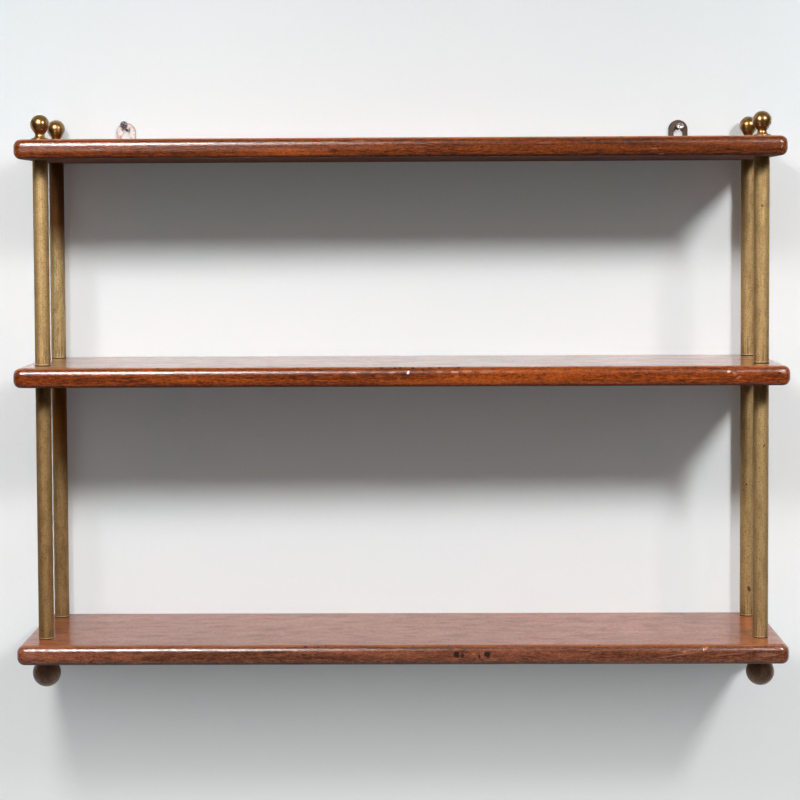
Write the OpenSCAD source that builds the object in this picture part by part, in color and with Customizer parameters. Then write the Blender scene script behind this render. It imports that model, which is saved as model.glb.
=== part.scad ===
// Three-tier hanging wall shelf: rounded-edge boards carried by brass tube posts, with turned
// ball finials above, turned ball feet below and keyhole hanging plates behind the top board.
// The frame's origin is midway between the two wall holes, on the plane of the wall.
// X runs along the wall, -Y comes out from it and Z is up.

/* [Boards] */
// Length of the middle and bottom boards along the wall
board_w = 800; // [500:10:1200]
// How far the top board's ends stop short of the ends of the boards below
top_inset = 3.5; // [0:0.5:4]
// Depth of each board out from the wall
board_d = 180; // [140:5:260]
// Thickness of each board
board_t = 20.5; // [18:0.5:26]
// Radius of the rounding along the front and end edges
edge_r = 7.5; // [3:0.5:8]
// Radius of the front corners, seen from above
corner_r = 8.5; // [8.5:0.5:20]
// Clear height between the top and middle boards
upper_bay_h = 215; // [120:1:350]
// Clear height between the middle and bottom boards
lower_bay_h = 268; // [120:1:350]

/* [Posts] */
// Distance from the ends of the lower boards to the front posts
front_post_end = 24; // [20:0.5:60]
// Distance from a board's front edge to the front posts
front_post_in = 44.5; // [24:0.5:60]
// Distance from the ends of the lower boards to the rear posts
rear_post_end = 19.5; // [19:0.5:60]
// Distance from the wall to the rear posts
rear_post_in = 15; // [15:0.5:40]
// Outside diameter of the brass tubes
tube_d = 16; // [12:0.5:20]
// Wall thickness of the brass tubes
tube_wall = 1.2; // [0.8:0.1:1.8]
// Chamfer round the ends of each tube
tube_chamfer = 0.4; // [0.2:0.1:0.6]
// Diameter of the tie rods inside the posts
rod_d = 6; // [4:0.5:7]
// Chamfer round the ends of each tie rod
rod_chamfer = 0.8; // [0.3:0.1:1.2]
// Gap between a tie rod and the board round it
rod_gap = 0.5; // [0.3:0.1:1]
// Gap between a tie rod's thread and the piece it screws into
thread_gap = 0.05; // [0.02:0.01:0.1]

/* [Finials] */
// Diameter of the ball
finial_ball_d = 19.8; // [18:0.2:24]
// Height of the ball's centre above the top board
finial_ball_rise = 17; // [16:0.5:20]
// Slope of the ball's tapered underside, from upright
finial_taper = 33; // [28:1:38]
// Diameter of the neck
finial_neck_d = 10; // [9.5:0.5:12]
// Radius of the hollow that sweeps out from the neck to the flange
finial_cove_r = 3.6; // [2.5:0.1:3.8]
// Diameter of the flange that presses on the board
finial_flange_d = 18.8; // [18:0.2:24]
// Thickness of the flange
finial_flange_t = 2.4; // [1.6:0.1:3]
// Depth of the turned line round the ball
finial_line_depth = 0.3; // [0.2:0.1:0.5]
// Length of tie rod that screws into a finial
finial_thread = 13; // [8:0.5:16]

/* [Feet] */
// Diameter of the ball feet
foot_d = 29.5; // [24:0.5:30]
// Diameter of the flat seat on top of each foot
foot_seat_d = 12; // [11:0.5:18]
// Height of the seat above the ball
foot_seat_h = 2.2; // [0.5:0.1:3]
// Diameter of the threaded insert in each foot
insert_d = 9; // [8.5:0.5:11]
// Length of the threaded insert
insert_l = 12; // [8:0.5:14]
// Gap between an insert and the foot round it
insert_gap = 0.05; // [0.02:0.01:0.1]
// Depth of the screwdriver slot across the top of each insert
insert_slot = 1; // [0.6:0.1:1.5]

/* [Hanging plates] */
// Distance from the ends of the lower boards to the hanging plates
plate_end = 95.2; // [60:0.2:150]
// Width of each plate, which is also its round head's diameter
plate_w = 21; // [18:0.5:26]
// Thickness of each plate
plate_t = 2.4; // [1.8:0.1:3]
// Diameter of the hole that the wall screw's head passes through
eye_d = 9.8; // [8:0.2:12]
// Height of that hole above the top board
eye_rise = 8.5; // [7.5:0.5:14]
// Width of the slot that the wall screw's shank rises into
slot_w = 5; // [4:0.2:6]
// Height of the slot's rounded end above the hole
slot_rise = 6.8; // [5:0.2:9]
// Height of the round head's centre above the hole
head_rise = 5; // [3:0.2:8]
// Length of plate let into the top board's rear edge
plate_drop = 16.5; // [14:0.5:17.5]
// Radius of the plate's lower corners
plate_corner_r = 2; // [1:0.5:4]
// Gap between a plate and the sides of its recess
recess_gap = 0.15; // [0.1:0.05:0.3]

/* [Plate screws] */
// Distance between the two screws of a plate
screw_pitch = 11; // [9:0.5:12]
// Depth of the screws below the top board's upper face
screw_drop = 9; // [6:0.5:11]
// Length of each screw
screw_l = 16; // [10:1:25]
// Diameter of the screw's shank
screw_d = 3; // [2.5:0.1:3.4]
// Diameter of the screw's head
screw_head_d = 5.6; // [4.8:0.2:6.4]
// Height of the screw's countersunk head
screw_head_h = 1.6; // [1.2:0.1:1.7]
// Width of the screwdriver slot in the head
screw_slot_w = 0.9; // [0.6:0.1:1.2]
// Depth of the screwdriver slot in the head
screw_slot_depth = 0.7; // [0.4:0.1:0.9]
// Gap between a screw and what it sits in
screw_gap = 0.05; // [0.02:0.01:0.1]

/* [Hidden] */
$fn = 64;
cut = 1; // how far a cutter runs past the face it opens
top_z = -eye_rise;
middle_z = top_z - board_t - upper_bay_h;
bottom_z = middle_z - board_t - lower_bay_h;
under_z = bottom_z - board_t;
edge_flat = board_t - 2 * edge_r;
corner_flat = corner_r - edge_r;
tube_r = tube_d / 2;
tube_bore_r = tube_r - tube_wall;
rod_r = rod_d / 2;
thread_r = rod_r + thread_gap;
ball_r = finial_ball_d / 2;
neck_r = finial_neck_d / 2;
flange_r = finial_flange_d / 2;
rim_r = finial_flange_t / 2;
taper_start_r = ball_r * cos(finial_taper);
taper_start_z = finial_ball_rise - ball_r * sin(finial_taper);
taper_end_z = taper_start_z - (taper_start_r - neck_r) / tan(finial_taper);
foot_r = foot_d / 2;
foot_centre = foot_seat_h + sqrt(pow(foot_r, 2) - pow(foot_seat_d / 2, 2));
insert_r = insert_d / 2;
rod_top = top_z + finial_thread;
rod_bottom = under_z - insert_l;
plate_x = board_w / 2 - plate_end;
plate_r = plate_w / 2;
plate_foot_z = top_z - plate_drop;
screw_z = top_z - screw_drop;
screw_r = screw_d / 2;
screw_head_r = screw_head_d / 2;

front_x = board_w / 2 - front_post_end;
rear_x = board_w / 2 - rear_post_end;
front_y = -(board_d - front_post_in);
rear_y = -rear_post_in;

POSTS = [
    ["front_left", -front_x, front_y],
    ["front_right", front_x, front_y],
    ["rear_left", -rear_x, rear_y],
    ["rear_right", rear_x, rear_y]
];
SIDES = [["left", -1], ["right", 1]];
POST_PIECES = ["upper_tube", "lower_tube", "tie_rod", "finial", "foot", "foot_insert"];
PLATE_PIECES = ["hanging_plate", "plate_screws"];

// ---- boards ----

// Section through a board's edge, from the corner's centre out to the face
module edge_profile() {
    intersection() {
        square([corner_r, board_t]);
        union() {
            square([corner_flat, board_t]);
            translate([0, edge_r]) square([corner_r, edge_flat]);
            for (z = [edge_r, board_t - edge_r]) translate([corner_flat, z]) circle(edge_r);
        }
    }
}

// A board's rounded right-hand end and front corner, on a board of the given length
module board_end(length) {
    translate([length / 2 - corner_r, 0, 0])
        rotate([90, 0, 0]) linear_extrude(board_d - corner_r) edge_profile();
    translate([length / 2 - corner_r, -(board_d - corner_r), 0])
        rotate([0, 0, -90]) rotate_extrude(angle = 90) edge_profile();
}

// A plain board with its underside at z = 0, its front and ends rounded and its rear edge square
module board_blank(length) {
    straight = length - 2 * corner_r;
    translate([-straight / 2, -(board_d - corner_r), 0]) cube([straight, board_d - corner_r, board_t]);
    translate([straight / 2, -(board_d - corner_r), 0])
        rotate([0, 0, -90]) rotate([90, 0, 0]) linear_extrude(straight) edge_profile();
    board_end(length);
    mirror([1, 0, 0]) board_end(length);
}

// A board with its upper face at the given height, drilled for the four tie rods
module board(upper_z, length = board_w) {
    difference() {
        translate([0, 0, upper_z - board_t]) board_blank(length);
        for (post = POSTS) translate([post[1], post[2], upper_z - board_t - cut])
            cylinder(r = rod_r + rod_gap, h = board_t + 2 * cut);
    }
}

module shelf_board(upper_z) {
    color("saddlebrown") board(upper_z);
}

// The top board also takes the hanging plates and their screws in its rear edge
module shelf_top() {
    color("saddlebrown") difference() {
        board(top_z, board_w - 2 * top_inset);
        for (side = SIDES) translate([side[1] * plate_x, 0, 0]) {
            recess_w = plate_w + 2 * recess_gap;
            translate([-recess_w / 2, -plate_t, plate_foot_z]) cube([recess_w, plate_t + cut, plate_drop + cut]);
            at_screws() rotate([90, 0, 0]) cylinder(r = screw_r + screw_gap, h = screw_l);
        }
    }
}

// ---- posts ----

// A length of tube standing on z = 0, with both ends chamfered outside
module tube(length) {
    rotate_extrude() polygon([
        [tube_bore_r, 0],
        [tube_r - tube_chamfer, 0],
        [tube_r, tube_chamfer],
        [tube_r, length - tube_chamfer],
        [tube_r - tube_chamfer, length],
        [tube_bore_r, length]
    ]);
}

module upper_tube(post) {
    color("darkgoldenrod") translate([post[1], post[2], middle_z]) tube(upper_bay_h);
}

module lower_tube(post) {
    color("darkgoldenrod") translate([post[1], post[2], bottom_z]) tube(lower_bay_h);
}

// The rod that pulls a post together, from the bottom of its insert to the top of its thread
module tie_rod(post) {
    length = rod_top - rod_bottom;
    color("dimgray") translate([post[1], post[2], rod_bottom]) rotate_extrude() polygon([
        [0, 0],
        [rod_r - rod_chamfer, 0],
        [rod_r, rod_chamfer],
        [rod_r, length - rod_chamfer],
        [rod_r - rod_chamfer, length],
        [0, length]
    ]);
}

// ---- finials ----

// Half section of the turned finial: ball, tapered underside, neck, hollow and rounded flange
module finial_profile() {
    cove_z = finial_flange_t + finial_cove_r;
    difference() {
        union() {
            intersection() {
                translate([0, finial_ball_rise]) circle(ball_r);
                square(finial_ball_rise + ball_r);
            }
            polygon([
                [0, 0],
                [neck_r, 0],
                [neck_r, taper_end_z],
                [taper_start_r, taper_start_z],
                [0, finial_ball_rise]
            ]);
            difference() {
                square([neck_r + finial_cove_r, cove_z]);
                translate([neck_r + finial_cove_r, cove_z]) circle(finial_cove_r);
            }
            square([flange_r - rim_r, finial_flange_t]);
            translate([flange_r - rim_r, rim_r]) circle(rim_r);
        }
        translate([taper_start_r, taper_start_z]) circle(finial_line_depth);
        translate([0, -cut]) square([thread_r, finial_thread + cut]);
    }
}

module finial(post) {
    color("goldenrod") translate([post[1], post[2], top_z]) rotate_extrude() finial_profile();
}

// ---- feet ----

// A turned ball under the bottom board, bored from above for its insert
module foot(post) {
    color("saddlebrown") translate([post[1], post[2], under_z]) rotate_extrude() difference() {
        union() {
            intersection() {
                translate([0, -foot_centre]) circle(foot_r);
                translate([0, -foot_seat_h - foot_d]) square(foot_d);
            }
            translate([0, -foot_seat_h]) square([foot_seat_d / 2, foot_seat_h]);
        }
        translate([0, -insert_l]) square([insert_r + insert_gap, insert_l + cut]);
    }
}

// The threaded brass sleeve that the tie rod's lower end screws into
module foot_insert(post) {
    color("goldenrod") translate([post[1], post[2], under_z]) difference() {
        translate([0, 0, -insert_l]) cylinder(r = insert_r, h = insert_l);
        translate([0, 0, -insert_l - cut]) cylinder(r = thread_r, h = insert_l + 2 * cut);
        translate([-insert_d / 2 - cut, -insert_slot / 2, -insert_slot])
            cube([insert_d + 2 * cut, insert_slot, insert_slot + cut]);
    }
}

// ---- hanging plates ----

module at_screws() {
    for (x = [-screw_pitch / 2, screw_pitch / 2]) translate([x, 0, screw_z]) children();
}

// Outline of a plate, seen from the front, with its keyhole
module plate_outline() {
    difference() {
        union() {
            translate([0, head_rise]) circle(plate_r);
            translate([-plate_r, plate_foot_z + plate_corner_r])
                square([plate_w, head_rise - plate_foot_z - plate_corner_r]);
            translate([-(plate_r - plate_corner_r), plate_foot_z])
                square([plate_w - 2 * plate_corner_r, plate_corner_r]);
            for (x = [-1, 1]) translate([x * (plate_r - plate_corner_r), plate_foot_z + plate_corner_r])
                circle(plate_corner_r);
        }
        circle(eye_d / 2);
        translate([-slot_w / 2, 0]) square([slot_w, slot_rise]);
        translate([0, slot_rise]) circle(slot_w / 2);
    }
}

// Countersunk head and shank along -Y, with the head's face on y = 0, grown all round by a gap
module screw_form(gap) {
    rotate([90, 0, 0]) {
        cylinder(r1 = screw_head_r + gap, r2 = screw_r + gap, h = screw_head_h);
        cylinder(r = screw_r + gap, h = screw_l);
    }
}

module hanging_plate(side) {
    color("tan") translate([side[1] * plate_x, 0, 0]) difference() {
        rotate([90, 0, 0]) linear_extrude(plate_t) plate_outline();
        at_screws() screw_form(screw_gap);
    }
}

module plate_screws(side) {
    color("silver") translate([side[1] * plate_x, 0, 0]) at_screws() difference() {
        screw_form(0);
        translate([-screw_head_r, -screw_slot_depth, -screw_slot_w / 2])
            cube([screw_head_d, screw_slot_depth + cut, screw_slot_w]);
    }
}

// ---- assembly ----

shelf_top();
shelf_board(middle_z);  // shelf_middle
shelf_board(bottom_z);  // shelf_bottom
for (post = POSTS) {
    upper_tube(post);
    lower_tube(post);
    tie_rod(post);
    finial(post);
    foot(post);
    foot_insert(post);
}
for (side = SIDES) {
    hanging_plate(side);
    plate_screws(side);
}
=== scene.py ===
import math

import bmesh
import bpy
from mathutils import Matrix, Vector


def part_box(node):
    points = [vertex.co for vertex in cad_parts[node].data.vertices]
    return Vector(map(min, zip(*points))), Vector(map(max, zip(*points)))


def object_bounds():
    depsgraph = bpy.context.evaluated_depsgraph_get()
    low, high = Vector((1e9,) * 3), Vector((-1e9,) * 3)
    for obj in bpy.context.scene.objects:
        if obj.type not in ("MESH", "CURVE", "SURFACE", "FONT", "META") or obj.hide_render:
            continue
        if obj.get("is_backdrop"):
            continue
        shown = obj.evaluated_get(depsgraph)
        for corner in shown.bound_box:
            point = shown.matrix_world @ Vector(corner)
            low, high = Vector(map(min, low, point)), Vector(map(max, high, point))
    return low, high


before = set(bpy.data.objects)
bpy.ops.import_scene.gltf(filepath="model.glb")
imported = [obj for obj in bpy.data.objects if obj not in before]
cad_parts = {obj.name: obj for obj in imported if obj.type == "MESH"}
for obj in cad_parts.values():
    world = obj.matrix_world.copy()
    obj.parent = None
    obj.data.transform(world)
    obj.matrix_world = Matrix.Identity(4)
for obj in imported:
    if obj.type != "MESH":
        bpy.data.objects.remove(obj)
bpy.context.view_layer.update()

MM = 0.001
WHITE = (1, 1, 1, 1)
POSTS = ("front_left", "front_right", "rear_left", "rear_right")
SIDES = ("left", "right")


# ---------------------------------------------------------------- nodes and colours

def linear(hex_colour):
    """A colour written as sRGB hex, as the linear RGBA that Blender takes."""
    channels = [int(hex_colour[i:i + 2], 16) / 255 for i in (0, 2, 4)]
    return (*[c / 12.92 if c <= 0.04045 else ((c + 0.055) / 1.055) ** 2.4 for c in channels], 1)


def add(tree, kind, inputs=(), **settings):
    """Adds one node with its settings. Its inputs, by name or in their own order, are values or
    the nodes and sockets that feed them."""
    node = tree.nodes.new("ShaderNode" + kind)
    for name, value in settings.items():
        setattr(node, name, value)
    for key, value in inputs.items() if isinstance(inputs, dict) else enumerate(inputs):
        if isinstance(value, bpy.types.Node):
            value = next(out for out in value.outputs if out.enabled)
        if isinstance(value, bpy.types.NodeSocket):
            tree.links.new(value, node.inputs[key])
        else:
            node.inputs[key].default_value = value
    return node


def new_material(name):
    """An empty node material, its tree and its object coordinates."""
    material = bpy.data.materials.new(name)
    material.use_nodes = True
    tree = material.node_tree
    tree.nodes.clear()
    return material, tree, add(tree, "TexCoord").outputs["Object"]


def patterns(tree, coords, offset, **sizes):
    """Named noise fields. Each size is the (x, y, z) millimetres of a blob and the detail in it."""
    fields = {}
    for name, (across, detail) in sizes.items():
        scaled = add(tree, "Mapping", {
            "Vector": coords, "Location": offset, "Scale": [1 / (mm * MM) for mm in across]})
        fields[name] = add(tree, "TexNoise", {
            "Vector": scaled, "Scale": 1.0, "Detail": detail, "Roughness": 0.58})
    return fields


# How far out a spot starts and is full, as shares of its half sizes
SPOT_FADE = (1.0, 0.6)


def spot(tree, coords, place, size, turn=0.0):
    """Distance from a place, 1 at the edge of an ellipsoid of the given half sizes."""
    local = add(tree, "Mapping", {
        "Vector": coords, "Location": place, "Rotation": (0, turn, 0), "Scale": size},
        vector_type="TEXTURE")
    return add(tree, "VectorMath", (local,), operation="LENGTH")


# ---------------------------------------------------------------- mahogany boards

# Each board's own wood: where its grain is cut from, the colours of the palest figure, the wood
# and its dark grain, of the upper face (faded, and partly painted light and shade for how the
# lamps fall on it) and of the rubbed arris, the upper face's shine, the polish's roughness, and
# how bright the left and right thirds are painted against the middle, as painted light for the
# lamps' uneven reach along the board
BOARDS = {
    "shelf_top": {
        "offset": (0.3, 0.1, 0.7), "pale": "A85018", "mid": "863E10", "dark": "461A06",
        "faded_and_lit": ("6E2E12", "A86030"), "rubbed": "BC6A30",
        "upper_shine": 0.28, "glaze": 0.18, "painted_light_gains": (0.97, 0.76)},
    "shelf_middle": {
        "offset": (1.3, 0.6, 0.2), "pale": "B85616", "mid": "92400F", "dark": "4E1E06",
        "faded_and_lit": ("783C22", "A66440"), "rubbed": "B05E26",
        "upper_shine": 0.86, "glaze": 0.18, "painted_light_gains": (1.0, 1.18)},
    "shelf_bottom": {
        "offset": (2.1, 0.4, 1.7), "pale": "A86246", "mid": "824B33", "dark": "502C1E",
        "faded_and_lit": ("823D1D", "A85B34"), "rubbed": "A0643E",
        "upper_shine": 0.43, "glaze": 0.15, "painted_light_gains": (0.92, 1.06)},
}
# Where the painted brighter or darker thirds fade in, from the left end and from the right (m)
PAINTED_GAIN_LEFT, PAINTED_GAIN_RIGHT = (-0.25, -0.05), (0.05, 0.25)

# Where a board's finish changes: how far below the top face the upper face's tone starts and is
# full, and how far above the underside the edge is painted lighter for light from below, has lost
# its shine, is painted darker for the shade along the lower arris, and is bare wood
UPPER_FACE_DEPTH = (2.4 * MM, 0.3 * MM)
PAINTED_UNDERLIGHT_EDGE = (10 * MM, 3.5 * MM)
DULL_EDGE = (4.5 * MM, 2.2 * MM)
PAINTED_SHADE_EDGE = (2.8 * MM, 0.9 * MM)
BARE_EDGE = (0.35 * MM, 0.1 * MM)
FRONT_SHINE = 0.82
FRONT_RELIEF, RELIEF_DEPTH = 0.48, 0.55 * MM

# The rubbed line along the front arris, as long as the board: how far in from the front edge and
# down from the top face it runs, and its half width and height
ARRIS_IN, ARRIS_DOWN = 4.6 * MM, 0.7 * MM
ARRIS_WIDE, ARRIS_HIGH = 2.6 * MM, 1.5 * MM
ENDLESS = 1e6

# Marks of use on a board's front edge: distance from the middle, distance below the top face,
# half length, half height (all mm), turn in degrees, colour, strength
MARK_IN, MARK_DEPTH = 2 * MM, 9 * MM
NICK = (2.0, 0.9, 0, "1E1010", 0.9)
MARKS = {
    "shelf_top": [
        (-66, 13.2, 5.5, 1.5, 4, "1E0C08", 0.85),
        (-77, 12.6, 6.0, 0.9, -3, "3A170C", 0.6),
        (-40, 3.6, 8.0, 1.0, 0, "B06A38", 0.5),
        (150, 6.5, 12.0, 1.2, -2, "9A6258", 0.4),
        (189, 1.7, *NICK),
        (233, 5.0, 4.5, 1.5, -25, "3A1810", 0.6),
        (259, 12.8, 4.5, 0.7, 5, "B88070", 0.5),
        (267, 18.3, 4.0, 0.7, 0, "B08070", 0.5),
        (-310, 10.5, 2.4, 1.2, 0, "2A120A", 0.8),
        (-357, 5.5, 0.9, 1.9, 0, "3A1810", 0.8),
    ],
    "shelf_middle": [
        (7.7, 5.2, 1.2, 2.3, 25, "F2E4DC", 0.95),
        (4.4, 5.4, 1.9, 2.0, 0, "5A2A30", 0.7),
        *[(x, 0.9, *NICK) for x in (-19.9, -5.8, -0.6, 12.8, 29.8, 39.7, 59.4)],
        (22.8, 2.6, 2.4, 1.5, 20, "1E1014", 0.9),
        (-10, 5.0, 4.5, 1.1, 0, "B87860", 0.5),
        (-2, 12.5, 2.6, 2.6, 0, "9A5636", 0.55),
        (-23, 9.0, 4.0, 1.8, 0, "9A5636", 0.5),
        (-49, 5.2, 5.0, 1.5, 0, "B06A58", 0.5),
        (40, 4.6, 5.0, 1.3, 0, "B87048", 0.5),
        (55, 5.0, 4.5, 1.2, 0, "D8A890", 0.6),
        (57, 9.5, 3.0, 1.6, 0, "C0683A", 0.6),
        (67, 4.2, 6.5, 1.6, 0, "BC7850", 0.6),
        (88, 4.6, 9.0, 2.2, 0, "B46C46", 0.5),
        (112, 5.0, 7.0, 1.4, 0, "B46C46", 0.4),
        (336, 5.6, 2.2, 1.3, 0, "F0D8C8", 0.8),
        (342, 7.5, 3.0, 0.7, 30, "D89878", 0.6),
        (346, 11.5, 3.0, 1.0, -30, "C88868", 0.5),
        (392, 6.0, 5.0, 3.0, 20, "B08068", 0.4),
        (-256, 8.0, 6.0, 0.8, 8, "3A1A10", 0.6),
        (-296, 12.5, 4.0, 1.2, -10, "2E140C", 0.6),
    ],
    "shelf_bottom": [
        (56.4, 8.9, 4.0, 4.2, 0, "241618", 0.95),
        (62.4, 9.8, 2.2, 3.0, 0, "2A1A1A", 0.9),
        (79.6, 10.9, 2.0, 2.8, 0, "2A1A1A", 0.9),
        (88.0, 8.9, 4.4, 4.4, 0, "241618", 0.95),
        (74, 8.0, 3.0, 1.2, 0, "B47A50", 0.5),
        (285, 9.5, 28.0, 0.6, -9, "C09078", 0.45),
        (291, 6.5, 2.2, 1.6, 0, "D08868", 0.6),
        (313, 3.6, 4.0, 1.2, -25, "D08868", 0.6),
        (338, 9.0, 22.0, 1.0, -4, "A87058", 0.45),
        (376, 9.5, 12.0, 2.6, 0, "A8705C", 0.4),
        (-384, 9.0, 5.0, 5.0, 0, "9A6A58", 0.5),
        (-322, 15.7, 4.8, 1.2, -40, "33180F", 0.85),
        (-100, 1.2, *NICK),
        (210, 12.5, 9.0, 0.9, 0, "42200F", 0.6),
    ],
}


def mahogany(node, offset, pale, mid, dark, faded_and_lit, rubbed, upper_shine, glaze, painted_light_gains):
    """French-polished mahogany: red-brown grain with fine dark pores and flecks under a clear shine.
    The upper face has faded in long lines and lies glassy flat, and its tone is partly painted
    light and shade. The front is painted brighter or darker by thirds and lighter low down, as
    painted light, and darker along its lower arris, as painted shade. The underside was never
    polished, and the front arris is rubbed paler and nicked. Mahogany's pores are about 0.2 mm
    wide, and are drawn 1 mm wide so that they show."""
    low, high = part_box(node)
    material, tree, coords = new_material(f"mahogany_french_polished_{node}")
    grain = patterns(
        tree, coords, offset,
        figure=((160, 30, 9), 3), streak=((9, 2.0, 1.5), 5), pores=((4.2, 1.2, 1.0), 3),
        blotch=((26, 18, 6), 3), lines=((70, 2.4, 2.4), 4), speck=((2.6, 2.6, 1.5), 3),
        rub=((20, 20, 20), 3), nick=((4.5, 6, 6), 2), ragged=((3, 3, 3), 2),
        orange_peel=((2.6, 2.4, 1.2), 3))
    place = add(tree, "SeparateXYZ", (coords,))
    upper = add(tree, "MapRange", (
        place.outputs["Z"], *[high.z - depth for depth in UPPER_FACE_DEPTH], 0.0, 1.0))

    # short dark streaks on the edges, long bleached lines on the upper face in colours partly
    # painted for the light that falls there, stains over both
    tone = add(tree, "MapRange", (grain["streak"], 0.36, 0.64, 0.0, 1.0))
    colour = add(tree, "Mix", {"Factor": tone, "A": linear(dark), "B": linear(mid)}, data_type="RGBA")
    lines = add(tree, "MapRange", (grain["lines"], 0.36, 0.64, 0.0, 1.0))
    faded_and_lit_upper = add(tree, "Mix", {"Factor": lines, "A": linear(faded_and_lit[0]), "B": linear(faded_and_lit[1])},
                 data_type="RGBA")
    colour = add(tree, "Mix", {"Factor": upper, "A": colour, "B": faded_and_lit_upper}, data_type="RGBA")
    for field, start, end, most, tint in (
            ("figure", 0.46, 0.70, 0.75, pale), ("blotch", 0.52, 0.72, 0.40, dark),
            ("pores", 0.50, 0.34, 0.62, "280C04")):
        amount = add(tree, "MapRange", (grain[field], start, end, 0.0, most))
        colour = add(tree, "Mix", {"Factor": amount, "A": colour, "B": linear(tint)}, data_type="RGBA")

    # flecks of light and dark, fainter on the upper face; then painted light: brighter or darker
    # thirds for the lamps' uneven reach along the board, and a lighter lower rounding for light
    # from below
    contrast = add(tree, "MapRange", (upper, 0.0, 1.0, 0.40, 0.25))
    flecked = add(tree, "MapRange", (grain["speck"], 0.30, 0.70, -1.0, 1.0))
    fleck_and_light_gain = add(tree, "Math", (flecked, contrast, 1.0), operation="MULTIPLY_ADD")
    for axis, reach, first, last in (
            ("X", PAINTED_GAIN_LEFT, painted_light_gains[0], 1.0), ("X", PAINTED_GAIN_RIGHT, 1.0, painted_light_gains[1]),
            ("Z", [low.z + up for up in PAINTED_UNDERLIGHT_EDGE], 1.0, 1.35)):
        part = add(tree, "MapRange", (place.outputs[axis], *reach, first, last))
        fleck_and_light_gain = add(tree, "Math", (fleck_and_light_gain, part), operation="MULTIPLY")
    colour = add(tree, "VectorMath", {"Vector": colour, "Scale": fleck_and_light_gain}, operation="SCALE")

    # painted shade: a dark line along the lower arris, where shade falls; the lost shine and the bare
    # underside are wear
    dull, low_arris_shade, bare = [
        add(tree, "MapRange", (place.outputs["Z"], low.z + start, low.z + full, 0.0, most))
        for (start, full), most in ((DULL_EDGE, 1.0), (PAINTED_SHADE_EDGE, 0.85), (BARE_EDGE, 1.0))]
    for amount, tint in ((low_arris_shade, "2E0E04"), (bare, "5A3222")):
        colour = add(tree, "Mix", {"Factor": amount, "A": colour, "B": linear(tint)}, data_type="RGBA")

    # along the front arris the polish is rubbed through in places and the wood is nicked
    line = spot(tree, coords, (0, low.y + ARRIS_IN, high.z - ARRIS_DOWN),
                (ENDLESS, ARRIS_WIDE, ARRIS_HIGH))
    near = add(tree, "MapRange", (line, 1.0, 0.4, 0.0, 1.0))
    for field, start, end, least, most, tint in (
            ("rub", 0.40, 0.62, 0.35, 0.9, rubbed), ("nick", 0.62, 0.68, 0.0, 0.9, "231010")):
        amount = add(tree, "MapRange", (grain[field], start, end, least, most))
        amount = add(tree, "Math", (near, amount), operation="MULTIPLY")
        colour = add(tree, "Mix", {"Factor": amount, "A": colour, "B": linear(tint)}, data_type="RGBA")

    # the marks of use have ragged outlines, and the deepest of them gives the scar there
    ragged = add(tree, "Math", (grain["ragged"], 0.5), operation="SUBTRACT")
    scar = 0.0
    for x, down, half_length, half_height, turn, tint, strength in MARKS[node]:
        away = spot(tree, coords, (x * MM, low.y + MARK_IN, high.z - down * MM),
                    (half_length * MM, MARK_DEPTH, half_height * MM), math.radians(turn))
        away = add(tree, "Math", (away, ragged))
        inside = add(tree, "MapRange", (away, *SPOT_FADE, 0.0, strength))
        colour = add(tree, "Mix", {"Factor": inside, "A": colour, "B": linear(tint)}, data_type="RGBA")
        scar = add(tree, "Math", (inside, scar), operation="MAXIMUM")

    rough = add(tree, "MapRange", (grain["blotch"], 0.35, 0.65, 0.28, 0.36))
    for worn, more in ((scar, 0.15), (bare, 0.4)):
        rough = add(tree, "Math", (worn, more, rough), operation="MULTIPLY_ADD")
    height = add(tree, "Math", (grain["pores"], 0.40), operation="MULTIPLY")
    for field, much in ((grain["orange_peel"], 0.9), (scar, -0.5)):
        height = add(tree, "Math", (field, much, height), operation="MULTIPLY_ADD")
    relief = add(tree, "MapRange", (upper, 0.0, 0.8, FRONT_RELIEF, 0.0))
    bump = add(tree, "Bump", {"Height": height, "Strength": relief, "Distance": RELIEF_DEPTH})
    shine = add(tree, "MapRange", (upper, 0.0, 1.0, FRONT_SHINE, upper_shine))
    for worn, share in ((near, -0.6), (dull, -1.0)):
        kept = add(tree, "Math", (worn, share, 1.0), operation="MULTIPLY_ADD")
        shine = add(tree, "Math", (shine, kept), operation="MULTIPLY")
    shader = add(tree, "BsdfPrincipled", {
        "Base Color": colour, "Roughness": rough, "IOR": 1.5, "Normal": bump,
        "Specular IOR Level": 0.12, "Coat Weight": shine, "Coat Roughness": glaze,
        "Coat IOR": 1.6, "Coat Normal": bump})
    add(tree, "OutputMaterial", (shader,))
    return material


# ---------------------------------------------------------------- metals and turned wood

# The foot of a tube: the heights above its end (mm) where its scratches, its painted highlight
# ring on the rounded end and its painted contact shadow at the end start and are full, and
# their colours
FOOT_BANDS = ((30, 6, "3E2E18"), (2.2, 1.4, "E4CFA0"), (1.0, 0.8, "1C110A"))
FOOT_HIGHLIGHT_MOST, FOOT_SHADOW_MOST = 0.5, 0.95
BELOW_FOOT = 1 * MM
PAINTED_SHADE_TOP_MOST = 0.93
# How far in from a round head's outline its painted shade starts and is full
OUTLINE_SHADE_FROM, OUTLINE_SHADE_FULL, OUTLINE_SHADE_MOST = 1.3 * MM, 0.3 * MM, 0.75


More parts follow.
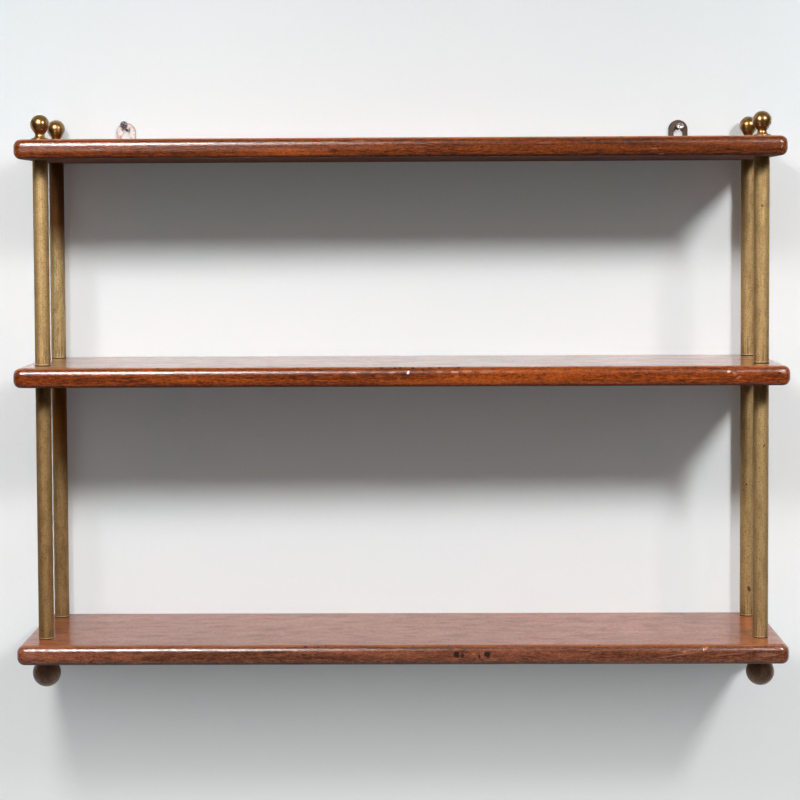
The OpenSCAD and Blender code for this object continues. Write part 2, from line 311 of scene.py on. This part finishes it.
def worn_finish(name, sizes, layers, base, rough_field, rough, relief, offset=(0, 0, 0),
                metallic=1.0, lacquer=0.0, feet=(), scratched=0.0, dents=(), outline_shade=None, painted_shade_top=None):
    """A worn surface: a base colour, layers of stain over it and a roughness that follows them.

    A layer is a field's name, the values where it starts and ends, its most, and its colour.
    Feet are the heights of tube ends with scratches, a painted highlight ring and a painted
    contact shadow, and scratched is how strong the scratches are. A dent is a place, half sizes,
    a turn and a colour. The outline shade is the x and z of a round head's middle, its radius and
    the colour of the painted shade along its outline. The painted shade top is the heights where
    a painted darkening for a cast shadow starts and is full, and its colour."""
    material, tree, coords = new_material(name)
    fields = patterns(tree, coords, offset, **sizes)
    place = add(tree, "SeparateXYZ", (coords,))
    height = place.outputs["Z"]
    colour = linear(base)
    for field, start, end, most, tint in layers:
        amount = add(tree, "MapRange", (fields[field], start, end, 0.0, most))
        colour = add(tree, "Mix", {"Factor": amount, "A": colour, "B": linear(tint)}, data_type="RGBA")
    # painted shade: a tube darkens towards its top, where the board's shadow falls
    if painted_shade_top:
        start, full, tint = painted_shade_top
        amount = add(tree, "MapRange", (height, start, full, 0.0, PAINTED_SHADE_TOP_MOST))
        colour = add(tree, "Mix", {"Factor": amount, "A": colour, "B": linear(tint)}, data_type="RGBA")
    # at each foot: scratches, then a painted highlight ring and a painted contact shadow
    for foot in feet:
        above = add(tree, "Math", (height, foot - BELOW_FOOT), operation="GREATER_THAN")
        scratches = add(tree, "MapRange", (fields["streak"], 0.48, 0.60, 0.0, scratched))
        for (start, full, tint), most in zip(FOOT_BANDS, (scratches, FOOT_HIGHLIGHT_MOST, FOOT_SHADOW_MOST)):
            amount = add(tree, "MapRange", (height, foot + start * MM, foot + full * MM, 0.0, most))
            amount = add(tree, "Math", (amount, above), operation="MULTIPLY")
            colour = add(tree, "Mix", {"Factor": amount, "A": colour, "B": linear(tint)},
                         data_type="RGBA")
    for centre, size, turn, tint in dents:
        away = spot(tree, coords, centre, size, turn)
        inside = add(tree, "MapRange", (away, *SPOT_FADE, 0.0, 0.8))
        colour = add(tree, "Mix", {"Factor": inside, "A": colour, "B": linear(tint)}, data_type="RGBA")
    # painted shade: darker towards a round head's outline, where its edge and the wall behind are in
    # shade
    if outline_shade:
        x, z, radius, tint = outline_shade
        across = add(tree, "Math", (place.outputs["X"], x), operation="SUBTRACT")
        up = add(tree, "Math", (height, z), operation="SUBTRACT")
        up = add(tree, "Math", (up, 0.0), operation="MAXIMUM")
        out = add(tree, "CombineXYZ", {"X": across, "Z": up})
        out = add(tree, "VectorMath", (out,), operation="LENGTH")
        amount = add(tree, "MapRange", (out, radius - OUTLINE_SHADE_FROM, radius - OUTLINE_SHADE_FULL, 0.0, OUTLINE_SHADE_MOST))
        colour = add(tree, "Mix", {"Factor": amount, "A": colour, "B": linear(tint)}, data_type="RGBA")
    satin = add(tree, "MapRange", (fields[rough_field], 0.3, 0.7, *rough))
    relief_field, strength = relief
    bump = add(tree, "Bump", {
        "Height": fields[relief_field], "Strength": strength, "Distance": 0.1 * MM})
    shader = add(tree, "BsdfPrincipled", {
        "Base Color": colour, "Metallic": metallic, "Roughness": satin, "Normal": bump,
        "Coat Weight": lacquer, "Coat Roughness": 0.12})
    add(tree, "OutputMaterial", (shader,))
    return material


TUBE_FEET = [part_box(f"{tube}_front_left")[0].z for tube in ("upper_tube", "lower_tube")]


def aged_brass_tube(name, bright, dull, patina, offset, scratched, dents=(), painted_shade_top=None):
    """Drawn brass tube, once lacquered and now satin: a fine speckle and faint upright lines,
    clouds of brown patina and small spots, and dark scratches at its foot, where a painted
    highlight ring sits over a painted contact shadow. The speckle and the lines are drawn about
    1 mm across, coarser than they are, to show at all."""
    return worn_finish(
        name, {"streak": ((1.3, 1.3, 34), 4), "cloud": ((7, 7, 22), 4),
               "fleck": ((2.0, 2.0, 2.8), 2), "dust": ((1.0, 1.0, 1.6), 2)},
        (("streak", 0.38, 0.66, 0.35, dull), ("cloud", 0.45, 0.72, patina, "6A5232"),
         ("fleck", 0.70, 0.76, 0.7, "3E2A14"), ("dust", 0.50, 0.66, 0.45, "563C1E")),
        bright, "cloud", (0.66, 0.76), ("dust", 0.05), offset,
        feet=TUBE_FEET, scratched=scratched, dents=dents, painted_shade_top=painted_shade_top)


def turned_brass(name):
    """Turned and polished brass under old lacquer: a golden shine with brown patina left in
    the hollows and turning lines round the axis, drawn coarser than they are so that they show."""
    return worn_finish(
        name, {"cloud": ((7, 7, 7), 4), "rings": ((50, 50, 0.9), 1), "fleck": ((1.6, 1.6, 1.6), 2)},
        (("cloud", 0.40, 0.72, 0.9, "6C5030"), ("fleck", 0.64, 0.72, 0.5, "4A321A")),
        "A07C48", "cloud", (0.27, 0.35), ("rings", 0.12), lacquer=0.5)


def cut_metal(name, colour, rough):
    """Plain drawn or cut metal: an even satin shine with darker lines along it, drawn coarser
    than they are so that they show."""
    return worn_finish(name, {"lines": ((0.8, 0.8, 20), 2)}, (("lines", 0.3, 0.7, 0.35, "3C3833"),),
                       colour, "lines", (rough - 0.05, rough + 0.08), ("lines", 0.05))


def worn_plate(name, node, clean, worn, dirt, edge, metallic, rough, painted_shadows=()):
    """Cut sheet brass whose coat has worn: blotches of the metal below, dirt in the pits, and
    painted shade along its outline, in the edge colour. A painted shadow is its place, right of
    the plate's middle and above the hole, and its half sizes (mm): a dark patch round the slot's
    top, where the screw head's shadow falls."""
    low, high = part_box(node)
    middle, radius = (low.x + high.x) / 2, (high.x - low.x) / 2
    # the painted shadows become dark patches on the plate
    dents = [((middle + x * MM, low.y, z * MM), (half_x * MM, 4 * MM, half_z * MM), 0.0, "2A2020")
             for x, z, half_x, half_z in painted_shadows]
    return worn_finish(
        name, {"cloud": ((4.5, 4.5, 4.5), 4), "pits": ((1.5, 1.5, 1.5), 2)},
        (("cloud", 0.38, 0.62, 1.0, worn), ("pits", 0.58, 0.70, 0.6, dirt)),
        clean, "cloud", (rough, rough + 0.15), ("pits", 0.3), metallic=metallic, dents=dents,
        outline_shade=(middle, high.z - radius, radius, edge))


def stained_hardwood(name):
    """Turned hardwood stained near black and waxed: a low greasy shine with the brown showing
    through where it has worn."""
    return worn_finish(
        name, {"grain": ((1.6, 1.6, 10), 4), "cloud": ((10, 10, 10), 3)},
        (("grain", 0.35, 0.65, 1.0, "866048"), ("cloud", 0.50, 0.72, 0.5, "9E7860")),
        "644630", "cloud", (0.30, 0.42), ("grain", 0.2), metallic=0.0)


# ---------------------------------------------------------------- dressing the CAD nodes

def dress(node, material):
    """Gives a CAD node's mesh its material, in every slot that it has."""
    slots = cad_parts[node].data.materials
    if not len(slots):
        slots.append(material)
    for i in range(len(slots)):
        slots[i] = material


for board, wood in BOARDS.items():
    dress(board, mahogany(board, **wood))

# Dark dents in the two right-hand posts: the post, how far right of its left side (mm), the height
# (m), the half width and half height (mm), the turn and the colour
DENTS = []
for post, aside, height, half_wide, half_high, turn, tint in (
        ("front_right", 7.2, -0.080, 1.3, 1.3, 0.0, "3A3028"),
        ("front_right", 10.0, -0.330, 0.9, 2.6, 0.4, "2C1E10"),
        ("rear_right", 6.0, -0.386, 1.3, 1.3, 0.0, "33231A"),
        ("rear_right", 9.0, -0.502, 2.2, 4.0, -0.3, "4A361C")):
    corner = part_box(f"upper_tube_{post}")[0]
    DENTS.append(((corner.x + aside * MM, corner.y, height),
                  (half_wide * MM, 3 * MM, half_high * MM), turn, tint))

golden = aged_brass_tube("brass_tube_golden", "BA9F71", "94774A", 0.35, (0.1, 0.5, 0.3), 0.55, DENTS)
dull = aged_brass_tube("brass_tube_dull", "A2845A", "7C623C", 0.50, (1.1, 0.7, 2.3), 0.25)
TUBE_METAL = {
    "lower_tube_front_left": dull,
    # The rear left tubes: a paler body with painted shade at the top, where the boards' shadows fall
    "upper_tube_rear_left": aged_brass_tube(
        "brass_tube_pale_painted_shade_top", "C5AE80", "92794D", 0.50, (2.6, 1.2, 0.9), 0.5,
        painted_shade_top=(-0.137, -0.096, "6A4424")),
    "lower_tube_rear_left": aged_brass_tube(
        "brass_tube_dull_painted_shade_top", "A88A60", "806640", 0.50, (1.1, 0.7, 2.3), 0.25,
        painted_shade_top=(-0.378, -0.322, "8A5C2B")),
}
for post in POSTS:
    for tube in (f"upper_tube_{post}", f"lower_tube_{post}"):
        dress(tube, TUBE_METAL.get(tube, golden))

finial_brass = turned_brass("brass_turned_and_polished")
rod_steel = cut_metal("steel_rod_drawn", "8C8A86", 0.40)
insert_brass = cut_metal("brass_insert_cut", "B08A4A", 0.38)
foot_wood = stained_hardwood("hardwood_stained_and_waxed")
for post in POSTS:
    dress(f"finial_{post}", finial_brass)
    dress(f"tie_rod_{post}", rod_steel)
    dress(f"foot_insert_{post}", insert_brass)
    dress(f"foot_{post}", foot_wood)

# The left plate's pale colour is partly a painted reflection of the left lamp, and the right plate's
# dark brown partly painted shade; the rest is their worn coats
dress("hanging_plate_left", worn_plate(
    "brass_plate_worn_painted_lit", "hanging_plate_left", "E2D8D6", "BE9A8E", "54403C", "8A7E80", 0.10, 0.42,
    painted_shadows=((-3.7, 8.2, 2.0, 1.9), (3.4, 7.2, 1.5, 3.2))))
dress("hanging_plate_right", worn_plate(
    "brass_plate_worn_painted_shade", "hanging_plate_right", "5C3E2E", "3E2A1C", "241A14", "342218", 0.15, 0.55))
screw_steel = cut_metal("steel_screw_zinc_plated", "A8A6A2", 0.35)
for side in SIDES:
    dress(f"plate_screws_{side}", screw_steel)


# ---------------------------------------------------------------- stage: wall, its screws, floor

# How bright the room's far surfaces are to the camera, and how much of that the floor takes on;
# the wall's painted glow over the posts' shadows is as bright
PALE, FLOOR_GLOW = 0.87, 0.85
# The half sizes of the wall and the floor, and the heights of the wall's middle and of the floor
WALL_HALF, FLOOR_HALF, WALL_MIDDLE, FLOOR_LEVEL = 2.2, 3.0, -0.3, -1.3
WALL_GAP = 0.8 * MM

# The wall's paint, by place in metres. A pair of places is where a change starts and where it is
# full, measured up from the origin or, for the ends of a bay, either way from the middle.
WALL_COLOUR, MOTTLE_COLOUR = "F7F7F7", "F3F3F3"
ABOVE_COLOUR, ABOVE_FROM = "F1F5F6", (-0.02, 0.02)
BAY_COLOUR, BAY_ENDS, BAY_TOP, BAY_FOOT = "F2F7F8", (0.43, 0.36), (0.05, -0.03), (-0.62, -0.54)
LOW_BAY_FROM = (-0.42, -0.53)
# In each bay, the top and the foot of the part in shade and its tint. It starts a little above
# its top, ends a little above its foot, and keeps between the posts.
SHADED = ((-0.03, -0.145, "E9FDFD"), (-0.265, -0.425, "EEF8F8"))
SHADED_START, SHADED_END, SHADED_SIDES = 0.02, 0.06, (0.34, 0.27)
# The painted glow below the shelf, which fades the bottom board's shadow: its brightness, its
# most, and where it starts and is full
FILL_GLOW, FILL_GLOW_MOST, FILL_GLOW_FROM = 0.72, 0.80, (-0.567, -0.76)
# Painted light over the posts' shadows: the centre, half width and most of each one's glow, then
# where in each bay the glow starts and is full, how far down it goes and how soon it ends, and
# the same strip of glow over the top board, where the finials' shadows fall
POST_SHADOW_GLOWS = ((-0.360, 0.024, 0.60), (0.304, 0.030, 0.75), (0.371, 0.016, 0.50))
LIT_FROM = ((-0.118, -0.165), (-0.395, -0.445))
LIT_DEEP, LIT_END = 0.085, 0.012
OVER_FROM, OVER_MOST = (0.065, 0.02), 0.65
# The wall and the floor fade into clear air, between these distances from a centre
WALL_CENTRE, WALL_CLEAR, FLOOR_CLEAR = (0, 0, -0.3), (1.3, 1.9), (1.6, 2.6)


def painted_wall(name):
    """Smooth white emulsion on plaster: matt and even in itself, with a faint mottle. Painted light
    is mixed in for the camera: a glow below the shelf fades the bottom board's shadow, and glows
    over the posts' and finials' shadows lift them. It is clear from behind and lets the lamps
    through, and it fades out away from the shelf, so that other sides show well."""
    material, tree, coords = new_material(name)
    mottle = patterns(tree, coords, (0, 0, 0), mottle=((180, 180, 180), 3))["mottle"]
    amount = add(tree, "MapRange", (mottle, 0.4, 0.7, 0.0, 0.5))
    colour = add(tree, "Mix", {"Factor": amount, "A": linear(WALL_COLOUR), "B": linear(MOTTLE_COLOUR)},
                 data_type="RGBA")
    path = add(tree, "LightPath")
    seen = add(tree, "Math", (path.outputs["Is Camera Ray"], path.outputs["Is Glossy Ray"]),
               operation="MAXIMUM")
    place = add(tree, "SeparateXYZ", (coords,))
    x, z = place.outputs["X"], place.outputs["Z"]
    from_middle = add(tree, "Math", (x,), operation="ABSOLUTE")

    # the paint is a touch cooler above the top board and between the boards, where their red light
    # falls on it
    within = add(tree, "MapRange", (from_middle, *BAY_ENDS, 0.0, 1.0))
    for reach, least in ((BAY_TOP, 0.0), (BAY_FOOT, 0.3)):
        part = add(tree, "MapRange", (z, *reach, least, 1.0))
        within = add(tree, "Math", (within, part), operation="MULTIPLY")
    low_down = add(tree, "MapRange", (z, *LOW_BAY_FROM, 0.0, 1.0))
    low_down = add(tree, "Math", (low_down, within), operation="MULTIPLY")
    above = add(tree, "MapRange", (z, *ABOVE_FROM, 0.0, 1.0))
    for amount, tint in ((above, ABOVE_COLOUR), (within, BAY_COLOUR), (low_down, BAY_COLOUR)):
        colour = add(tree, "Mix", {"Factor": amount, "A": colour, "B": linear(tint)}, data_type="RGBA")
    inner = add(tree, "MapRange", (from_middle, *SHADED_SIDES, 0.0, 1.0))
    for top, foot, tint in SHADED:
        enter = add(tree, "MapRange", (z, top + SHADED_START, top, 0.0, 1.0))
        leave = add(tree, "MapRange", (z, foot + SHADED_END, foot, 1.0, 0.0))
        shaded = add(tree, "Math", (enter, leave), operation="MULTIPLY")
        shaded = add(tree, "Math", (shaded, inner), operation="MULTIPLY")
        colour = add(tree, "Mix", {"Factor": shaded, "A": colour, "B": linear(tint)}, data_type="RGBA")
    paint = add(tree, "BsdfDiffuse", {"Color": colour})

    # painted light: below the shelf a glow for the camera grows downwards and fades the bottom
    # board's shadow
    fill_glow = add(tree, "MapRange", (z, *FILL_GLOW_FROM, 0.0, FILL_GLOW_MOST))
    fill_glow = add(tree, "Math", (fill_glow, seen), operation="MULTIPLY")
    glow = add(tree, "Emission", {"Color": WHITE, "Strength": FILL_GLOW})
    shown = add(tree, "MixShader", (fill_glow, paint, glow))

    # painted light: a glow for the camera lifts the posts' shadows out of the wall, and the
    # finials' shadows over the top board
    painted_glow = 0.0
    for centre, half, most in POST_SHADOW_GLOWS:
        off = add(tree, "Math", (x, centre), operation="SUBTRACT")
        off = add(tree, "Math", (off,), operation="ABSOLUTE")
        band = add(tree, "MapRange", (off, half, half * 0.3, 0.0, most))
        painted_glow = add(tree, "Math", (painted_glow, band), operation="MAXIMUM")
    over = add(tree, "MapRange", (z, *OVER_FROM, 0.0, OVER_MOST))
    top = add(tree, "Math", (z, ABOVE_FROM[0]), operation="GREATER_THAN")
    glow_places = add(tree, "Math", (over, top), operation="MULTIPLY")
    for shade, lit in LIT_FROM:
        rise = add(tree, "MapRange", (z, shade, lit, 0.0, 1.0))
        fall = add(tree, "MapRange", (z, lit - LIT_DEEP, lit - LIT_DEEP - LIT_END, 1.0, 0.0))
        bay = add(tree, "Math", (rise, fall), operation="MULTIPLY")
        glow_places = add(tree, "Math", (glow_places, bay), operation="MAXIMUM")
    for part in (glow_places, seen):
        painted_glow = add(tree, "Math", (painted_glow, part), operation="MULTIPLY")
    glow = add(tree, "Emission", {"Color": WHITE, "Strength": PALE})
    shown = add(tree, "MixShader", (painted_glow, shown, glow))

    away = add(tree, "VectorMath", (coords, WALL_CENTRE), operation="DISTANCE")
    hidden = add(tree, "MapRange", (away, *WALL_CLEAR, 0.0, 1.0))
    for part in (path.outputs["Is Shadow Ray"], add(tree, "NewGeometry").outputs["Backfacing"]):
        hidden = add(tree, "Math", (hidden, part), operation="MAXIMUM")
    clear = add(tree, "BsdfTransparent")
    add(tree, "OutputMaterial", (add(tree, "MixShader", (hidden, shown, clear)),))
    return material


def pale_floor(name):
    """Pale seamless floor: it shows near white, keeps the shadow and throws little light up."""
    material, tree, coords = new_material(name)
    paint = add(tree, "BsdfDiffuse", {"Color": linear("A8A8A8")})
    glow = add(tree, "Emission", {"Color": WHITE, "Strength": PALE})
    camera_ray = add(tree, "LightPath").outputs["Is Camera Ray"]
    seen = add(tree, "Math", (camera_ray, FLOOR_GLOW), operation="MULTIPLY")
    shown = add(tree, "MixShader", (seen, paint, glow))
    away = add(tree, "VectorMath", (coords,), operation="LENGTH")
    hidden = add(tree, "MapRange", (away, *FLOOR_CLEAR, 0.0, 1.0))
    clear = add(tree, "BsdfTransparent")
    add(tree, "OutputMaterial", (add(tree, "MixShader", (hidden, shown, clear)),))
    return material


def finished(name, shape, material):
    """A mesh object made from a bmesh, with one material."""
    mesh = bpy.data.meshes.new(name)
    shape.to_mesh(mesh)
    shape.free()
    mesh.materials.append(material)
    piece = bpy.data.objects.new(name, mesh)
    bpy.context.scene.collection.objects.link(piece)
    return piece


def flat_sheet(name, half_size, place, material):
    """A square sheet of the stage, facing the way that its place turns it."""
    sheet = bmesh.new()
    bmesh.ops.create_grid(sheet, x_segments=1, y_segments=1, size=half_size, matrix=place)
    finished(name, sheet, material)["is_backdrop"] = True


UPRIGHT = Matrix.Rotation(math.radians(90), 4, "X")
flat_sheet("wall", WALL_HALF, Matrix.Translation((0, WALL_GAP, WALL_MIDDLE)) @ UPRIGHT,
           painted_wall("emulsion_paint_white"))
flat_sheet("floor", FLOOR_HALF, Matrix.Translation((0, 0, FLOOR_LEVEL)),
           pale_floor("studio_floor_pale"))

HEAD_RADIUS, HEAD_HEIGHT = 4.2 * MM, 2.4 * MM
RECESS_SIZE = (6.2 * MM, 3.2 * MM, 1.5 * MM)
SHADOW_DISC_THICKNESS = 0.6 * MM
SLOT_RISE = 6.8 * MM


def wall_screw(name, place, turn, tilt, material, recess_material):
    """A pan-head screw with a crossed recess, standing in the wall in front of a plate."""
    head = bmesh.new()
    bmesh.ops.create_uvsphere(head, u_segments=32, v_segments=16, radius=1.0)
    bmesh.ops.bisect_plane(head, geom=head.verts[:] + head.edges[:] + head.faces[:],
                           plane_co=(0, 0, 0), plane_no=(0, 0, -1), clear_outer=True)
    bmesh.ops.holes_fill(head, edges=[edge for edge in head.edges if edge.is_boundary])
    bmesh.ops.scale(head, vec=(HEAD_RADIUS, HEAD_RADIUS, HEAD_HEIGHT), verts=head.verts)
    bmesh.ops.rotate(head, matrix=UPRIGHT.to_3x3(), verts=head.verts)
    piece = finished(name, head, material)
    for polygon in piece.data.polygons:
        polygon.use_smooth = True
    for arm_turn in (turn, turn + 90):
        arm = bmesh.new()
        bmesh.ops.create_cube(arm, size=1.0)
        bmesh.ops.scale(arm, vec=RECESS_SIZE, verts=arm.verts)
        bmesh.ops.rotate(arm, matrix=Matrix.Rotation(math.radians(arm_turn), 3, "Y"), verts=arm.verts)
        bmesh.ops.translate(arm, vec=(0, -HEAD_HEIGHT, 0), verts=arm.verts)
        cutter = finished(f"{name}_cutter", arm, recess_material)
        cut = piece.modifiers.new("recess", "BOOLEAN")
        cut.operation, cut.object = "DIFFERENCE", cutter
        cut.solver, cut.material_mode = "EXACT", "TRANSFER"
        graph = bpy.context.evaluated_depsgraph_get()
        mesh = bpy.data.meshes.new_from_object(piece.evaluated_get(graph))
        piece.modifiers.clear()
        piece.data = mesh
        bpy.data.objects.remove(cutter)
    piece.data.transform(Matrix.Translation(place) @ Matrix.Rotation(math.radians(tilt), 4, "X"))
    piece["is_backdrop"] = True


def shadow_disc(name, x, z, radius, material):
    """A dark disc on the wall, seen through the plate's slot: painted shadow of the screw's head."""
    disc = bmesh.new()
    bmesh.ops.create_cone(disc, cap_ends=True, segments=32, radius1=radius, radius2=radius,
                          depth=SHADOW_DISC_THICKNESS)
    bmesh.ops.rotate(disc, matrix=UPRIGHT.to_3x3(), verts=disc.verts)
    bmesh.ops.translate(disc, vec=(x, WALL_GAP - SHADOW_DISC_THICKNESS / 2, z), verts=disc.verts)
    finished(name, disc, material)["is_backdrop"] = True


# painted shade: a dark finish for the left screw's cross recess and for the discs of shadow seen
# through the slots
painted_shade_dark = worn_finish(
    "painted_shade_dark_finish", {"dust": ((2, 2, 2), 2)}, (("dust", 0.4, 0.7, 0.5, "4A4644"),),
    "231F1E", "dust", (0.5, 0.7), ("dust", 0.1), metallic=0.0)
pale_recess = cut_metal("steel_recess_pale", "A49E9A", 0.45)
# The wall screws were driven askew: how far each head stands right of, in front of and above its
# slot's end (mm), the turn of its cross, the head's tilt up, and its painted shadow disc's
# radius and place there
for side, colour, aside, ahead, above, turn, tilt, recess, shadow_r, shadow_x, shadow_z in (
        ("left", "8E8A94", -2.4, 0.2, 6.5, 25, 0, painted_shade_dark, 3.5, 1.8, 2.4),
        ("right", "DEDAD6", 2.0, 2.6, 1.7, 20, -38, pale_recess, 2.8, -0.3, 0.6)):
    low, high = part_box(f"hanging_plate_{side}")
    middle = (low.x + high.x) / 2
    wall_screw(f"wall_screw_{side}", (middle + aside * MM, low.y - ahead * MM, SLOT_RISE + above * MM),
               turn, tilt, cut_metal(f"steel_wall_screw_{side}", colour, 0.46), recess)
    shadow_disc(f"shadow_disc_{side}", middle + shadow_x * MM, SLOT_RISE + shadow_z * MM, shadow_r * MM,
              painted_shade_dark)


# ---------------------------------------------------------------- world and lamps

# Brightness of the room from below to above, as surfaces and as mirrors see it, and its colours
ROOM_LEVELS, ROOM_HEIGHTS, ROOM_TINT = (0.16, 0.38), (-0.35, 0.45), "F6FCFF"
MIRROR_LEVELS, MIRROR_HEIGHTS, MIRROR_TINT = (0.025, 0.30), (0.10, 0.70), "FFCFA0"


def studio_world():
    """A dim room, lighter above than below. The camera sees it pale."""
    world = bpy.data.worlds.new("studio_room")
    world.use_nodes = True
    tree = world.node_tree
    tree.nodes.clear()
    up = add(tree, "SeparateXYZ", (add(tree, "TexCoord").outputs["Generated"],)).outputs["Z"]
    level = add(tree, "MapRange", (up, *ROOM_HEIGHTS, *ROOM_LEVELS))
    mirrored = add(tree, "MapRange", (up, *MIRROR_HEIGHTS, *MIRROR_LEVELS))
    path = add(tree, "LightPath")
    for ray, seen in (("Is Glossy Ray", mirrored), ("Is Transmission Ray", mirrored),
                      ("Is Camera Ray", PALE)):
        level = add(tree, "Mix", {"Factor": path.outputs[ray], "A": level, "B": seen})
    tint = WHITE
    for ray, seen in (("Is Diffuse Ray", ROOM_TINT), ("Is Glossy Ray", MIRROR_TINT)):
        tint = add(tree, "Mix", {"Factor": path.outputs[ray], "A": tint, "B": linear(seen)},
                   data_type="RGBA")
    shade = add(tree, "Background", {"Color": tint, "Strength": level})
    add(tree, "OutputWorld", (shade,))
    bpy.context.scene.world = world


def soft_lamp(name, place, aim, size, watts, spread, in_diffuse=True, in_gloss=True):
    """A round lamp aimed at a point. It can be kept out of the diffuse or the mirrored light."""
    lamp = bpy.data.lights.new(name, "AREA")
    lamp.shape, lamp.size, lamp.energy, lamp.spread = "DISK", size, watts, math.radians(spread)
    holder = bpy.data.objects.new(name, lamp)
    holder.location = place
    holder.rotation_euler = (Vector(aim) - Vector(place)).to_track_quat("-Z", "Y").to_euler()
    holder.visible_diffuse, holder.visible_glossy = in_diffuse, in_gloss
    bpy.context.scene.collection.objects.link(holder)


studio_world()
# Each lamp's hard core lights the wall and boards; its soft bowl is what the polish mirrors
LEFT, RIGHT = (-0.50, -1.18, 0.585), (1.09, -1.47, 0.725)
soft_lamp("lamp_left", LEFT, (-0.46, 0, -0.875), 0.30, 5.8, 110)
soft_lamp("lamp_right", RIGHT, (0.62, 0, -0.872), 0.30, 10.3, 110)
soft_lamp("bowl_left", LEFT, (-0.1, 0, -0.2), 0.78, 16, 180, in_diffuse=False)
soft_lamp("bowl_right", RIGHT, (0.1, 0, -0.2), 0.60, 11, 180, in_diffuse=False)
soft_lamp("lamp_behind", (0, 1.9, -0.30), (0, 0, -0.30), 1.2, 12, 180, in_gloss=False)


# ---------------------------------------------------------------- camera

CAMERA_PLACE = (0.0275, -2.3141, -0.0900)
CAMERA_TURN, CAMERA_DIP, CAMERA_ROLL = 0.751, 2.825, -0.280    # degrees

camera = bpy.data.cameras.new("camera")
camera.lens, camera.sensor_width, camera.shift_y = 93.87, 36, -0.10
camera.clip_start, camera.clip_end = 0.05, 50
tripod = bpy.data.objects.new("camera", camera)
pose = Matrix.Translation(CAMERA_PLACE)
for angle, axis in ((CAMERA_TURN, "Z"), (90 - CAMERA_DIP, "X"), (CAMERA_ROLL, "Z")):
    pose = pose @ Matrix.Rotation(math.radians(angle), 4, axis)
tripod.matrix_world = pose
bpy.context.scene.collection.objects.link(tripod)
bpy.context.scene.camera = tripod
bpy.context.scene.view_settings.view_transform = "Standard"

low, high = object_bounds()
